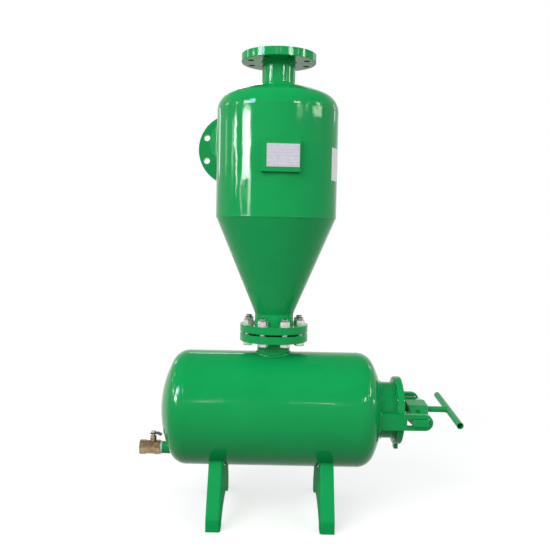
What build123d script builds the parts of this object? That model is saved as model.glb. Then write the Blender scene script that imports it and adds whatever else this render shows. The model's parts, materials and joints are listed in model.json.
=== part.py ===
"""A hydrocyclone sand separator: a welded cyclone on a horizontal sand tank with a clamped hand hole.

Millimetres. Pieces are drawn about the cyclone's axis, with the floor on Z = 0, and moved at the end so that
the origin is on the floor under the middle of the whole. The sand tank lies along X, with the drain valve at
-X and the hand hole at +X, and the inlet points back along +Y.
"""

from build123d import *
import math
import os

# Radii of dished heads as shares of their diameter, and angles
BODY_CROWN_SHARE = 1.0
TANK_CROWN_SHARE = 0.9
KNUCKLE_SHARE = 0.154
HALF_TURN = 180
RIGHT_ANGLE = 90
HALF_RIGHT_ANGLE = 45

# Room left for the weld at a curved seat, and round a pipe in its flange
WELD_GAP = 0.2

# Sand tank
TANK_AXIS_HEIGHT = 284
TANK_RADIUS = 155
TANK_WALL = 5
TANK_SEAM = 229

# Joint between tank and cyclone, bolted through two flanges
NECK_RADIUS = 44.5
NECK_WALL = 4.5
NECK_RISE = 33
JOINT_FLANGE_RADIUS = 92.5
JOINT_FLANGE_THICKNESS = 20
JOINT_BOLT_CIRCLE = 150
JOINT_FACE_RADIUS = 61
JOINT_GASKET_THICKNESS = 2
RAISED_FACE = 1.5
BOLT_COUNT = 8
HEX_SIDES = 6
BOLT_HOLE_RADIUS = 9
FLANGE_CHAMFER = 1

# Cyclone
SPIGOT_RADIUS = 52
SPIGOT_RISE = 28
CONE_HEIGHT = 262
BODY_RADIUS = 162.5
BODY_WALL = 6
BODY_LENGTH = 280

# Outlet on top, whose pipe runs down inside as the vortex finder
OUTLET_RADIUS = 44.5
OUTLET_WALL = 4.5
OUTLET_RISE = 131
OUTLET_FLANGE_RADIUS = 100
OUTLET_FLANGE_THICKNESS = 22
OUTLET_BOLT_CIRCLE = 160
OUTLET_FACE_RADIUS = 69
FINDER_DEPTH = 150
PIPE_SETBACK = 3

# Tangential inlet
INLET_RADIUS = 57
INLET_WALL = 5
INLET_DROP = 80.5
INLET_OVERHANG = 21.5
INLET_REACH = 23.5
ENTRY_COLLAR = 4
INLET_FLANGE_RADIUS = 105
INLET_FLANGE_THICKNESS = 22
INLET_BOLT_CIRCLE = 175
INLET_FACE_RADIUS = 77

# Nameplate and its folded bracket
BRACKET_WIDTH = 98
BRACKET_HEIGHT = 81
BRACKET_SHEET = 3
BRACKET_STANDOFF = 9
BRACKET_DROP = 130
BRACKET_TURN = 3
PLATE_WIDTH = 82
PLATE_HEIGHT = 57
PLATE_SHEET = 1
PLATE_SHIFT = 6

# Saddles
SADDLE_CENTRE = 146
SADDLE_WIDTH = 38
SADDLE_SHEET = 5
SADDLE_BEND = 8
SADDLE_FOLD = 14
SADDLE_HALF_BASE = 170
SADDLE_HALF_TOP = 91
SADDLE_FOLD_HEIGHT = 32
SADDLE_FOOT_LENGTH = 45
SADDLE_ARCH = 36
SADDLE_ARCH_SIDE = 12

# Hand hole
HAND_NECK_RADIUS = 76
HAND_NECK_WALL = 6
HAND_NECK_RISE = 26.3
HAND_RING_RADIUS = 86
HAND_RING_THICKNESS = 10
HAND_GASKET_THICKNESS = 2
COVER_RADIUS = 92
COVER_THICKNESS = 9
COVER_SKIRT = 10
COVER_PLAY = 1
COVER_ROUNDING = 3
TAB_WIDTH = 20
TAB_DROP = 14
TAB_THICKNESS = 11

# Clamp over the hand hole
CLAMP_TILT = 4.5
ARM_HEIGHT = 43
ARM_THICKNESS = 12
ARM_SLOT_HEIGHT = 22
ARM_SLOT_CORNER = 4
ARM_SLOT_LEAD = 14
ARM_SLOT_ROOM = 3
ARM_TIP_WALL = 8
YOKE_END_DEPTH = 43
YOKE_HEIGHT = 44
YOKE_PLAY = 1
YOKE_OVERHANG = 8
YOKE_ROUNDING = 2.5
POCKET_LENGTH = 22
POCKET_WIDTH = 11
POCKET_DEPTH = 5
BOSS_HALF_WIDTH = 24
BOSS_LENGTH = 56
PAD_RADIUS = 20
PAD_THICKNESS = 6
PAD_TRAVEL_ROOM = 11.5
SCREW_RADIUS = 8
SCREW_PLAY = 0.3
SCREW_REACH = 60.5
SCREW_RISE = 4
BAR_RADIUS = 9
BAR_WALL = 2
BAR_LENGTH = 270
BAR_TILT = 4

# Drain and its ball valve
DRAIN_INSET = 38
NIPPLE_RADIUS = 16.8
NIPPLE_WALL = 3.4
NIPPLE_ENGAGEMENT = 8
VALVE_CLEARANCE = 3.9
VALVE_LENGTH = 56
VALVE_STEM_INSET = 20
VALVE_HEX_RADIUS = 18.5
VALVE_CORNER_RADIUS = 19.8
VALVE_HEX_LENGTH = 16
VALVE_WAIST_RADIUS = 18.2
VALVE_INSERT_LENGTH = 18
BALL_RADIUS = 13
BALL_BORE = 9
SEAT_PLAY = 0.3
BONNET_RADIUS = 8.5
BONNET_RISE = 24
STEM_RADIUS = 5
STEM_TOP_RADIUS = 3.5
STEM_TOP_RISE = 7
TANG_WIDTH = 4
TANG_DEPTH = 2
GLAND_RADIUS = 7.5
GLAND_HEIGHT = 8
LEVER_RISE = 38
LEVER_SHEET = 3
LEVER_WIDTH = 18
LEVER_REACH = 22
LEVER_TAIL = 6
LEVER_DROOP = 4.5

BASE = (Align.CENTER, Align.CENTER, Align.MIN)

# Heights that follow from the stack
LOWER_FLANGE_Z = TANK_AXIS_HEIGHT + TANK_RADIUS + NECK_RISE
GASKET_Z = LOWER_FLANGE_Z + JOINT_FLANGE_THICKNESS + RAISED_FACE
UPPER_FLANGE_Z = GASKET_Z + JOINT_GASKET_THICKNESS + RAISED_FACE
CONE_Z = UPPER_FLANGE_Z + JOINT_FLANGE_THICKNESS + SPIGOT_RISE
BODY_Z = CONE_Z + CONE_HEIGHT
HEAD_Z = BODY_Z + BODY_LENGTH
OUTLET_FLANGE_Z = HEAD_Z + OUTLET_RISE
INLET_X = INLET_RADIUS - BODY_RADIUS - INLET_OVERHANG
INLET_Z = HEAD_Z - INLET_DROP
INLET_FLANGE_Y = BODY_RADIUS + INLET_REACH
DRAIN_Z = TANK_AXIS_HEIGHT - TANK_RADIUS + DRAIN_INSET


def rod(radius, length):
    """A round bar standing on Z = 0."""
    return Cylinder(radius, length, align=BASE)


def tube(radius, wall, length):
    """A pipe standing on Z = 0."""
    return rod(radius, length) - rod(radius - wall, length)


def flange(radius, bore, thickness, bolt_circle, face_radius):
    """A slip-on pipe flange on Z = 0, its raised face up, its bolt holes straddling the centre lines."""
    disc = chamfer(rod(radius, thickness).edges().filter_by(GeomType.CIRCLE), FLANGE_CHAMFER)
    disc += rod(face_radius, thickness + RAISED_FACE)
    holes = PolarLocations(bolt_circle / 2, BOLT_COUNT, start_angle=HALF_TURN / BOLT_COUNT)
    return disc - rod(bore, thickness + RAISED_FACE) - holes * rod(BOLT_HOLE_RADIUS, thickness)


def head_rise(radius, crown_share):
    """Height of a dished head above its seam, and the drop from its seam to the centre of its crown."""
    knuckle = KNUCKLE_SHARE * 2 * radius
    crown = crown_share * 2 * radius
    drop = math.sqrt((crown - knuckle) ** 2 - (radius - knuckle) ** 2)
    return crown - drop, drop


def dome(radius, crown_share, inset):
    """The volume under a dished head whose seam is on Z = 0, drawn in from its outside by the inset."""
    knuckle = KNUCKLE_SHARE * 2 * radius
    rise, drop = head_rise(radius, crown_share)
    turn = math.degrees(math.atan2(drop, radius - knuckle))
    outline = [
        CenterArc((radius - knuckle, 0), knuckle - inset, 0, turn),
        CenterArc((0, -drop), drop + rise - inset, turn, RIGHT_ANGLE - turn),
        Line((0, rise - inset), (0, 0)),
        Line((0, 0), (radius - inset, 0)),
    ]
    return revolve(Plane.XZ * make_face(outline), Axis.Z)


def along_x(x, y, z):
    """A place where a shape that stands on Z = 0 points along +X instead."""
    return Plane((x, y, z), x_dir=(0, 1, 0), z_dir=(1, 0, 0))


def along_minus_x(x, y, z):
    """A place where a shape that stands on Z = 0 points along -X instead."""
    return Plane((x, y, z), x_dir=(0, -1, 0), z_dir=(-1, 0, 0))


def along_y(x, y, z):
    """A place where a shape that stands on Z = 0 points along +Y instead."""
    return Plane((x, y, z), x_dir=(1, 0, 0), z_dir=(0, 1, 0))


# Cyclone


def outlet_flange():
    ring = flange(
        OUTLET_FLANGE_RADIUS,
        OUTLET_RADIUS + WELD_GAP,
        OUTLET_FLANGE_THICKNESS,
        OUTLET_BOLT_CIRCLE,
        OUTLET_FACE_RADIUS,
    )
    return Pos(0, 0, OUTLET_FLANGE_Z) * ring


def outlet_pipe():
    bottom = HEAD_Z - FINDER_DEPTH
    top = OUTLET_FLANGE_Z + OUTLET_FLANGE_THICKNESS - PIPE_SETBACK
    return Pos(0, 0, bottom) * tube(OUTLET_RADIUS, OUTLET_WALL, top - bottom)


def top_head():
    rise, _ = head_rise(BODY_RADIUS, BODY_CROWN_SHARE)
    head = dome(BODY_RADIUS, BODY_CROWN_SHARE, 0) - dome(BODY_RADIUS, BODY_CROWN_SHARE, BODY_WALL)
    return Pos(0, 0, HEAD_Z) * (head - rod(OUTLET_RADIUS + WELD_GAP, rise))


def inlet_scarf(depth):
    """All that lies before the slanting end of the inlet, moved back into the pipe by the depth."""
    size = 2 * INLET_FLANGE_Y
    block = Box(size, size, size, align=(Align.MAX, Align.CENTER, Align.CENTER))
    return Pos(-BODY_RADIUS, 0, INLET_Z) * Rot(0, 0, HALF_RIGHT_ANGLE) * Pos(depth, 0, 0) * block


def inlet_bore():
    """The open way through the entry, whose wall is as thick as the body's."""
    bore = along_y(INLET_X, 0, INLET_Z) * rod(INLET_RADIUS - BODY_WALL, inlet_seam_y())
    return bore - inlet_scarf(BODY_WALL)


def cyclone_shell():
    shell = Pos(0, 0, BODY_Z) * tube(BODY_RADIUS, BODY_WALL, BODY_LENGTH)
    return shell - inlet_bore()


def inlet_seam_y():
    """Where the inlet pipe meets its tangential entry, a collar's length clear of the body's side."""
    inner_side = INLET_X + INLET_RADIUS
    return math.sqrt(BODY_RADIUS**2 - inner_side**2) + ENTRY_COLLAR


def inlet_entry():
    """The end of the inlet, cut to the side of the body and closed by a slanting plate."""
    pipe = along_y(INLET_X, 0, INLET_Z) * rod(INLET_RADIUS, inlet_seam_y())
    body = Pos(0, 0, BODY_Z) * rod(BODY_RADIUS + WELD_GAP, BODY_LENGTH)
    return pipe - body - inlet_scarf(0) - inlet_bore()


def inlet_pipe():
    start = inlet_seam_y()
    length = INLET_FLANGE_Y + INLET_FLANGE_THICKNESS - PIPE_SETBACK - start
    return along_y(INLET_X, start, INLET_Z) * tube(INLET_RADIUS, INLET_WALL, length)


def inlet_flange():
    ring = flange(
        INLET_FLANGE_RADIUS,
        INLET_RADIUS + WELD_GAP,
        INLET_FLANGE_THICKNESS,
        INLET_BOLT_CIRCLE,
        INLET_FACE_RADIUS,
    )
    return along_y(INLET_X, INLET_FLANGE_Y, INLET_Z) * ring


def cyclone_cone():
    outside = Cone(SPIGOT_RADIUS, BODY_RADIUS, CONE_HEIGHT, align=BASE)
    inside = Cone(SPIGOT_RADIUS - BODY_WALL, BODY_RADIUS - BODY_WALL, CONE_HEIGHT, align=BASE)
    return Pos(0, 0, CONE_Z) * (outside - inside)


def apex_spigot():
    bottom = UPPER_FLANGE_Z
    return Pos(0, 0, bottom) * tube(SPIGOT_RADIUS, BODY_WALL, CONE_Z - bottom)


# Bolted joint


def joint_flange(bore):
    return flange(
        JOINT_FLANGE_RADIUS,
        bore + WELD_GAP,
        JOINT_FLANGE_THICKNESS,
        JOINT_BOLT_CIRCLE,
        JOINT_FACE_RADIUS,
    )


def upper_joint_flange():
    top = UPPER_FLANGE_Z + JOINT_FLANGE_THICKNESS
    return Pos(0, 0, top) * Rot(HALF_TURN, 0, 0) * joint_flange(SPIGOT_RADIUS)


def joint_gasket():
    ring = tube(JOINT_FACE_RADIUS, JOINT_FACE_RADIUS - SPIGOT_RADIUS, JOINT_GASKET_THICKNESS)
    return Pos(0, 0, GASKET_Z) * ring


def lower_joint_flange():
    return Pos(0, 0, LOWER_FLANGE_Z) * joint_flange(NECK_RADIUS)


# Sand tank


def tank_neck():
    bottom = TANK_AXIS_HEIGHT
    top = LOWER_FLANGE_Z + JOINT_FLANGE_THICKNESS
    neck = Pos(0, 0, bottom) * tube(NECK_RADIUS, NECK_WALL, top - bottom)
    return neck - along_x(-TANK_RADIUS, 0, TANK_AXIS_HEIGHT) * rod(TANK_RADIUS + WELD_GAP, 2 * TANK_RADIUS)


def tank_shell():
    shell = along_x(-TANK_SEAM, 0, TANK_AXIS_HEIGHT) * tube(TANK_RADIUS, TANK_WALL, 2 * TANK_SEAM)
    return shell - Pos(0, 0, TANK_AXIS_HEIGHT) * rod(NECK_RADIUS - NECK_WALL, 2 * TANK_RADIUS)


def right_end():
    return along_x(TANK_SEAM, 0, TANK_AXIS_HEIGHT)


def left_end():
    return along_minus_x(-TANK_SEAM, 0, TANK_AXIS_HEIGHT)


def tank_dome(inset):
    return dome(TANK_RADIUS, TANK_CROWN_SHARE, inset)


def tank_head_rise():
    return head_rise(TANK_RADIUS, TANK_CROWN_SHARE)[0]


def tank_head():
    return tank_dome(0) - tank_dome(TANK_WALL)


def tank_head_right():
    return right_end() * (tank_head() - rod(HAND_NECK_RADIUS - HAND_NECK_WALL, tank_head_rise()))


def tank_head_left():
    hole = along_minus_x(-TANK_SEAM, 0, DRAIN_Z) * rod(NIPPLE_RADIUS - NIPPLE_WALL, tank_head_rise())
    return left_end() * tank_head() - hole


def saddle_outline(inset):
    """Side view of a saddle under the tank, drawn in from its edges by the inset."""
    seat = math.sqrt(TANK_RADIUS**2 - SADDLE_HALF_TOP**2)
    top = TANK_AXIS_HEIGHT - seat
    half = SADDLE_HALF_BASE - inset
    slope = (SADDLE_HALF_BASE - SADDLE_HALF_TOP) / (top - SADDLE_FOLD_HEIGHT)
    lift = inset * math.tan(math.atan(slope) / 2)
    fold = SADDLE_FOLD_HEIGHT - lift
    shoulder = half - slope * (top - fold)
    edge = [(half, 0), (half, fold), (shoulder, top), (shoulder, TANK_AXIS_HEIGHT)]
    mirrored = [(-y, z) for y, z in reversed(edge)]
    outline = make_face(Polyline(*edge, *mirrored, close=True))
    return fillet(outline.vertices().group_by(Axis.Y)[1], SADDLE_FOLD - inset)


def pressing(inset, bend):
    """A block of the saddle's outline, rounded where its flanges turn out of its web."""
    block = extrude(saddle_outline(inset), SADDLE_WIDTH)
    web = block.faces().sort_by(Axis.Z)[0]
    return fillet(web.edges().filter_by(Axis.X, reverse=True), bend)


def saddle_arch():
    """The low arch cut out of a saddle's web between its feet."""
    half = SADDLE_HALF_BASE - SADDLE_FOOT_LENGTH
    left, right = (-half, SADDLE_ARCH_SIDE), (half, SADDLE_ARCH_SIDE)
    sides = Polyline(left, (-half, 0), (half, 0), right)
    return extrude(make_face([*sides.edges(), ThreePointArc(left, (0, SADDLE_ARCH), right)]), SADDLE_WIDTH)


def saddle(side):
    """A pressed saddle: a web on its inner side and a folded flange down its front and back."""
    hollow = Pos(0, 0, SADDLE_SHEET) * pressing(SADDLE_SHEET, SADDLE_BEND - SADDLE_SHEET)
    sheet = pressing(0, SADDLE_BEND) - hollow - saddle_arch()
    tank = along_x(0, 0, TANK_AXIS_HEIGHT) * rod(TANK_RADIUS + WELD_GAP, TANK_SEAM)
    seated = along_x(SADDLE_CENTRE - SADDLE_WIDTH / 2, 0, 0) * sheet - tank
    return seated if side > 0 else mirror(seated, about=Plane.YZ)


# Hand hole and clamp

HAND_X = TANK_SEAM + tank_head_rise() + HAND_NECK_RISE
HAND_FACE_X = HAND_X + HAND_RING_THICKNESS
COVER_X = HAND_FACE_X + HAND_GASKET_THICKNESS
PAD_X = COVER_X + COVER_THICKNESS
YOKE_X = PAD_X + PAD_THICKNESS + PAD_TRAVEL_ROOM
BOSS_END_X = YOKE_X + BOSS_LENGTH
BAR_X = BOSS_END_X + SCREW_REACH
ARM_SLOT_START = YOKE_X - ARM_SLOT_LEAD
ARM_SLOT_END = YOKE_X + YOKE_END_DEPTH + ARM_SLOT_ROOM
ARM_END = ARM_SLOT_END + ARM_TIP_WALL
ARM_INNER_Y = COVER_RADIUS + COVER_PLAY


def tank_axis_at(x):
    return along_x(x, 0, TANK_AXIS_HEIGHT)


def screw_axis_at(x):
    return along_x(x, 0, TANK_AXIS_HEIGHT + SCREW_RISE)


def head_seat():
    """The right head's outside, with room for a weld, that cuts the pieces seated on it."""
    return right_end() * tank_dome(-WELD_GAP)


def hand_hole_neck():
    length = HAND_FACE_X - PIPE_SETBACK - TANK_SEAM
    return right_end() * tube(HAND_NECK_RADIUS, HAND_NECK_WALL, length) - head_seat()


def hand_hole_ring():
    wall = HAND_RING_RADIUS - HAND_NECK_RADIUS - WELD_GAP
    return tank_axis_at(HAND_X) * tube(HAND_RING_RADIUS, wall, HAND_RING_THICKNESS)


def hand_hole_gasket():
    wall = HAND_RING_RADIUS - HAND_NECK_RADIUS
    return tank_axis_at(HAND_FACE_X) * tube(HAND_RING_RADIUS, wall, HAND_GASKET_THICKNESS)


def hand_hole_cover():
    """A cast lid whose skirt reaches over the ring, with a tapering lip at its foot."""
    length = COVER_SKIRT + COVER_THICKNESS
    lid = rod(COVER_RADIUS, length)
    lid = fillet(lid.edges().filter_by(GeomType.CIRCLE), COVER_ROUNDING)
    lid += cover_lip(length - COVER_ROUNDING)
    lid -= rod(HAND_RING_RADIUS + COVER_PLAY, COVER_SKIRT)
    return tank_axis_at(COVER_X - COVER_SKIRT) * lid


def cover_lip(front):
    """A lip below a lid that stands on Z = 0, thick at the skirt and thin at its tip."""
    tip = -COVER_RADIUS - TAB_DROP
    foot = -HAND_RING_RADIUS - COVER_PLAY
    side = Polyline((foot, COVER_ROUNDING), (foot, front), (tip, front), (tip, front - TAB_THICKNESS), close=True)
    plane = Plane((0, 0, 0), x_dir=(0, 1, 0), z_dir=(1, 0, 0))
    return plane * extrude(make_face(side), TAB_WIDTH / 2, both=True)


def clamp_place():
    """The tank's axis, turned as the clamp's arms are welded on, with the front one lower."""
    return Pos(0, 0, TANK_AXIS_HEIGHT) * Rot(CLAMP_TILT, 0, 0)


def clamp_arm(side):
    """A slotted flat bar beside the hand hole, welded to the tank's head."""
    straight = ARM_END - ARM_HEIGHT / 2 - TANK_SEAM
    bar = Rectangle(straight, ARM_HEIGHT, align=(Align.MIN, Align.CENTER))
    tip = Pos(straight, 0) * Circle(ARM_HEIGHT / 2)
    slot = RectangleRounded(ARM_SLOT_END - ARM_SLOT_START, ARM_SLOT_HEIGHT, ARM_SLOT_CORNER)
    profile = bar + tip - Pos((ARM_SLOT_START + ARM_SLOT_END) / 2 - TANK_SEAM, 0) * slot
    plane = Plane((TANK_SEAM, -ARM_INNER_Y, 0), x_dir=(1, 0, 0), z_dir=(0, -1, 0))
    front = plane * extrude(profile, ARM_THICKNESS)
    arm = front if side < 0 else mirror(front, about=Plane.XZ)
    return clamp_place() * arm - head_seat()


def mirrored_face(points):
    """A face whose outline is the points and their mirror image across the first axis."""
    return make_face(Polyline(*points, *[(x, -y) for x, y in reversed(points)], close=True))


def yoke_plan():
    """Top view, along X and Y: straight inside, and deepest at the boss."""
    half = ARM_INNER_Y + ARM_THICKNESS + YOKE_OVERHANG
    end = YOKE_X + YOKE_END_DEPTH
    return mirrored_face([(YOKE_X, half), (end, half), (end, ARM_INNER_Y), (BOSS_END_X, BOSS_HALF_WIDTH)])


def yoke_elevation():
    """End view, along Y and Z: tallest at the boss, and thin enough at its ends for the arms' slots."""
    half = ARM_INNER_Y + ARM_THICKNESS + YOKE_OVERHANG
    tenon = ARM_SLOT_HEIGHT / 2 - YOKE_PLAY
    back = [(BOSS_HALF_WIDTH, YOKE_HEIGHT / 2), (ARM_INNER_Y - YOKE_PLAY, tenon), (half, tenon)]
    return mirrored_face([*[(-y, z) for y, z in reversed(back)], *back])


def clamp_yoke():
    """A forged crossbar through both arms' slots, with a threaded boss and a pocket on each shoulder."""
    bar = extrude(yoke_plan(), YOKE_HEIGHT, both=True)
    bar &= along_x(YOKE_X, 0, 0) * extrude(yoke_elevation(), BOSS_LENGTH)
    bar = fillet(bar.edges(), YOKE_ROUNDING)
    pocket = Box(POCKET_WIDTH, POCKET_LENGTH, YOKE_HEIGHT, align=BASE)
    middle = (BOSS_HALF_WIDTH + ARM_INNER_Y) / 2
    shoulder = (YOKE_HEIGHT + ARM_SLOT_HEIGHT) / 4
    for end in (-middle, middle):
        bar -= Pos(YOKE_X + YOKE_END_DEPTH / 2, end, shoulder - POCKET_DEPTH) * pocket
    return clamp_place() * bar - screw_axis_at(YOKE_X) * rod(SCREW_RADIUS + SCREW_PLAY, BOSS_LENGTH)


def bar_rod(radius):
    """A round bar on the line of the T-handle, its front end lower."""
    height = TANK_AXIS_HEIGHT + SCREW_RISE
    return Pos(BAR_X, 0, height) * Rot(RIGHT_ANGLE + BAR_TILT, 0, 0) * Cylinder(radius, BAR_LENGTH)


def pressure_pad():
    return screw_axis_at(PAD_X) * rod(PAD_RADIUS, PAD_THICKNESS)


def clamp_screw():
    """A plain shank whose end is welded against the T-bar."""
    start = PAD_X + PAD_THICKNESS
    shank = screw_axis_at(start) * rod(SCREW_RADIUS, BAR_X - start)
    return shank - bar_rod(BAR_RADIUS + WELD_GAP)


def t_handle_bar():
    return bar_rod(BAR_RADIUS) - bar_rod(BAR_RADIUS - BAR_WALL)


# Nameplate


def bracket_face_y():
    return -BODY_RADIUS - BRACKET_STANDOFF


def on_body(shape):
    return Rot(0, 0, BRACKET_TURN) * Pos(0, 0, HEAD_Z - BRACKET_DROP) * shape


def nameplate_bracket():
    depth = BODY_RADIUS + BRACKET_STANDOFF
    align = (Align.CENTER, Align.MIN, Align.CENTER)
    outside = Box(BRACKET_WIDTH, depth, BRACKET_HEIGHT, align=align)
    inside = Box(BRACKET_WIDTH - 2 * BRACKET_SHEET, depth, BRACKET_HEIGHT, align=align)
    fold = outside - Pos(0, BRACKET_SHEET, 0) * inside
    placed = on_body(Pos(0, bracket_face_y(), 0) * fold)
    return placed - Pos(0, 0, BODY_Z) * rod(BODY_RADIUS + WELD_GAP, BODY_LENGTH)


def nameplate():
    sheet = Box(PLATE_WIDTH, PLATE_SHEET, PLATE_HEIGHT, align=(Align.CENTER, Align.MAX, Align.CENTER))
    return on_body(Pos(PLATE_SHIFT, bracket_face_y(), 0) * sheet)


# Drain and ball valve

VALVE_START = TANK_SEAM + tank_head_rise() + VALVE_CLEARANCE
NIPPLE_END = VALVE_START + NIPPLE_ENGAGEMENT
VALVE_CENTRE_X = -(VALVE_START + VALVE_STEM_INSET)


def drain_at(x):
    return along_minus_x(x, 0, DRAIN_Z)


def drain_nipple():
    length = NIPPLE_END - TANK_SEAM
    nipple = drain_at(-TANK_SEAM) * tube(NIPPLE_RADIUS, NIPPLE_WALL, length)
    return nipple - left_end() * tank_dome(-WELD_GAP)


def hex_rod(radius, length):
    return extrude(RegularPolygon(radius, HEX_SIDES, major_radius=False), length)


def valve_hex():
    """An end of the valve for a spanner, its corners turned off."""
    return hex_rod(VALVE_HEX_RADIUS, VALVE_HEX_LENGTH) & rod(VALVE_CORNER_RADIUS, VALVE_HEX_LENGTH)


def valve_body():
    """The half of the valve that screws on the nipple and holds the ball and stem."""
    length = VALVE_LENGTH - VALVE_INSERT_LENGTH
    body = valve_hex() + Pos(0, 0, VALVE_HEX_LENGTH) * rod(VALVE_WAIST_RADIUS, length - VALVE_HEX_LENGTH)
    placed = drain_at(-VALVE_START) * body
    placed += Pos(VALVE_CENTRE_X, 0, DRAIN_Z) * rod(BONNET_RADIUS, BONNET_RISE)
    placed -= drain_at(-VALVE_START) * rod(NIPPLE_RADIUS + WELD_GAP, NIPPLE_END - VALVE_START)
    placed -= drain_at(-VALVE_START) * rod(BALL_BORE, length)
    placed -= ball_room()
    return placed - Pos(VALVE_CENTRE_X, 0, DRAIN_Z) * rod(STEM_RADIUS + SEAT_PLAY, BONNET_RISE)


def ball_room():
    return Pos(VALVE_CENTRE_X, 0, DRAIN_Z) * Sphere(BALL_RADIUS + SEAT_PLAY)


def valve_insert():
    """The half of the valve that closes the ball in and takes the drain hose."""
    start = VALVE_LENGTH - VALVE_INSERT_LENGTH
    collar = VALVE_INSERT_LENGTH - VALVE_HEX_LENGTH
    half = rod(VALVE_WAIST_RADIUS, collar) + Pos(0, 0, collar) * valve_hex()
    half -= rod(BALL_BORE, VALVE_INSERT_LENGTH)
    half -= Pos(0, 0, collar) * rod(NIPPLE_RADIUS, VALVE_HEX_LENGTH)
    return drain_at(-VALVE_START - start) * half - ball_room()


def valve_axis_at(rise):
    return Pos(VALVE_CENTRE_X, 0, DRAIN_Z + rise)


def tang(play):
    """The flat end of the stem that turns the ball, hanging from Z = 0."""
    align = (Align.CENTER, Align.CENTER, Align.MAX)
    return Box(TANG_WIDTH + 2 * play, 2 * STEM_RADIUS, TANG_DEPTH + play, align=align)


def valve_ball():
    ball = valve_axis_at(0) * Sphere(BALL_RADIUS)
    ball -= drain_at(VALVE_CENTRE_X + BALL_RADIUS) * rod(BALL_BORE, 2 * BALL_RADIUS)
    ball -= valve_axis_at(BALL_RADIUS) * tang(WELD_GAP)
    return ball


def valve_stem():
    bottom = BALL_RADIUS + WELD_GAP
    stem = valve_axis_at(bottom) * rod(STEM_RADIUS, LEVER_RISE - bottom)
    stem += valve_axis_at(LEVER_RISE) * rod(STEM_TOP_RADIUS, STEM_TOP_RISE)
    turning_end = tang(0) & Pos(0, 0, -TANG_DEPTH) * rod(STEM_RADIUS, TANG_DEPTH)
    return stem + valve_axis_at(bottom) * turning_end


def valve_gland():
    nut = hex_rod(GLAND_RADIUS, GLAND_HEIGHT) - rod(STEM_RADIUS + SEAT_PLAY, GLAND_HEIGHT)
    return valve_axis_at(BONNET_RISE) * nut


def valve_lever():
    """A short bent strip over the stem, in line with the open valve."""
    tip = LEVER_REACH
    flat = tip - 2 * LEVER_DROOP
    top = [(-LEVER_TAIL, 0), (flat, 0), (tip, -LEVER_DROOP)]
    path = Polyline(*top)
    strip = make_face(offset(path, LEVER_SHEET / 2, kind=Kind.INTERSECTION))
    lever = Rot(RIGHT_ANGLE, 0, 0) * extrude(strip, LEVER_WIDTH / 2, both=True)
    placed = valve_axis_at(LEVER_RISE + LEVER_SHEET / 2) * lever
    return placed - valve_axis_at(LEVER_RISE) * rod(STEM_TOP_RADIUS + WELD_GAP, STEM_TOP_RISE)


NODES = {
    "outlet_flange": outlet_flange(),
    "outlet_pipe": outlet_pipe(),
    "top_head": top_head(),
    "cyclone_shell": cyclone_shell(),
    "inlet_entry": inlet_entry(),
    "inlet_pipe": inlet_pipe(),
    "inlet_flange": inlet_flange(),
    "cyclone_cone": cyclone_cone(),
    "apex_spigot": apex_spigot(),
    "upper_joint_flange": upper_joint_flange(),
    "joint_gasket": joint_gasket(),
    "lower_joint_flange": lower_joint_flange(),
    "tank_neck": tank_neck(),
    "tank_shell": tank_shell(),
    "tank_head_left": tank_head_left(),
    "tank_head_right": tank_head_right(),
    "left_saddle": saddle(-1),
    "right_saddle": saddle(1),
    "hand_hole_neck": hand_hole_neck(),
    "hand_hole_ring": hand_hole_ring(),
    "hand_hole_gasket": hand_hole_gasket(),
    "hand_hole_cover": hand_hole_cover(),
    "front_clamp_arm": clamp_arm(-1),
    "back_clamp_arm": clamp_arm(1),
    "clamp_yoke": clamp_yoke(),
    "pressure_pad": pressure_pad(),
    "clamp_screw": clamp_screw(),
    "t_handle_bar": t_handle_bar(),
    "nameplate_bracket": nameplate_bracket(),
    "nameplate": nameplate(),
    "drain_nipple": drain_nipple(),
    "valve_body": valve_body(),
    "valve_insert": valve_insert(),
    "valve_ball": valve_ball(),
    "valve_stem": valve_stem(),
    "valve_gland": valve_gland(),
    "valve_lever": valve_lever(),
}

# Plan position of the whole object's middle, seen from the cyclone's axis
REACH_RIGHT = BAR_X + BAR_RADIUS
REACH_LEFT = VALVE_START + VALVE_LENGTH
REACH_BACK = INLET_FLANGE_Y + INLET_FLANGE_THICKNESS + RAISED_FACE
REACH_FRONT = BODY_RADIUS + BRACKET_STANDOFF + PLATE_SHEET
TO_ORIGIN = Pos((REACH_LEFT - REACH_RIGHT) / 2, (REACH_FRONT - REACH_BACK) / 2, 0)

os.makedirs("parts", exist_ok=True)
for name, shape in NODES.items():
    export_step(TO_ORIGIN * shape, f"parts/{name}.step")
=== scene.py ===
"""Looks of a hydrocyclone sand separator: enamel, hardware, weld beads and blank labels."""

import json
import math

import bmesh
import bpy
from mathutils import Matrix, Vector

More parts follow.
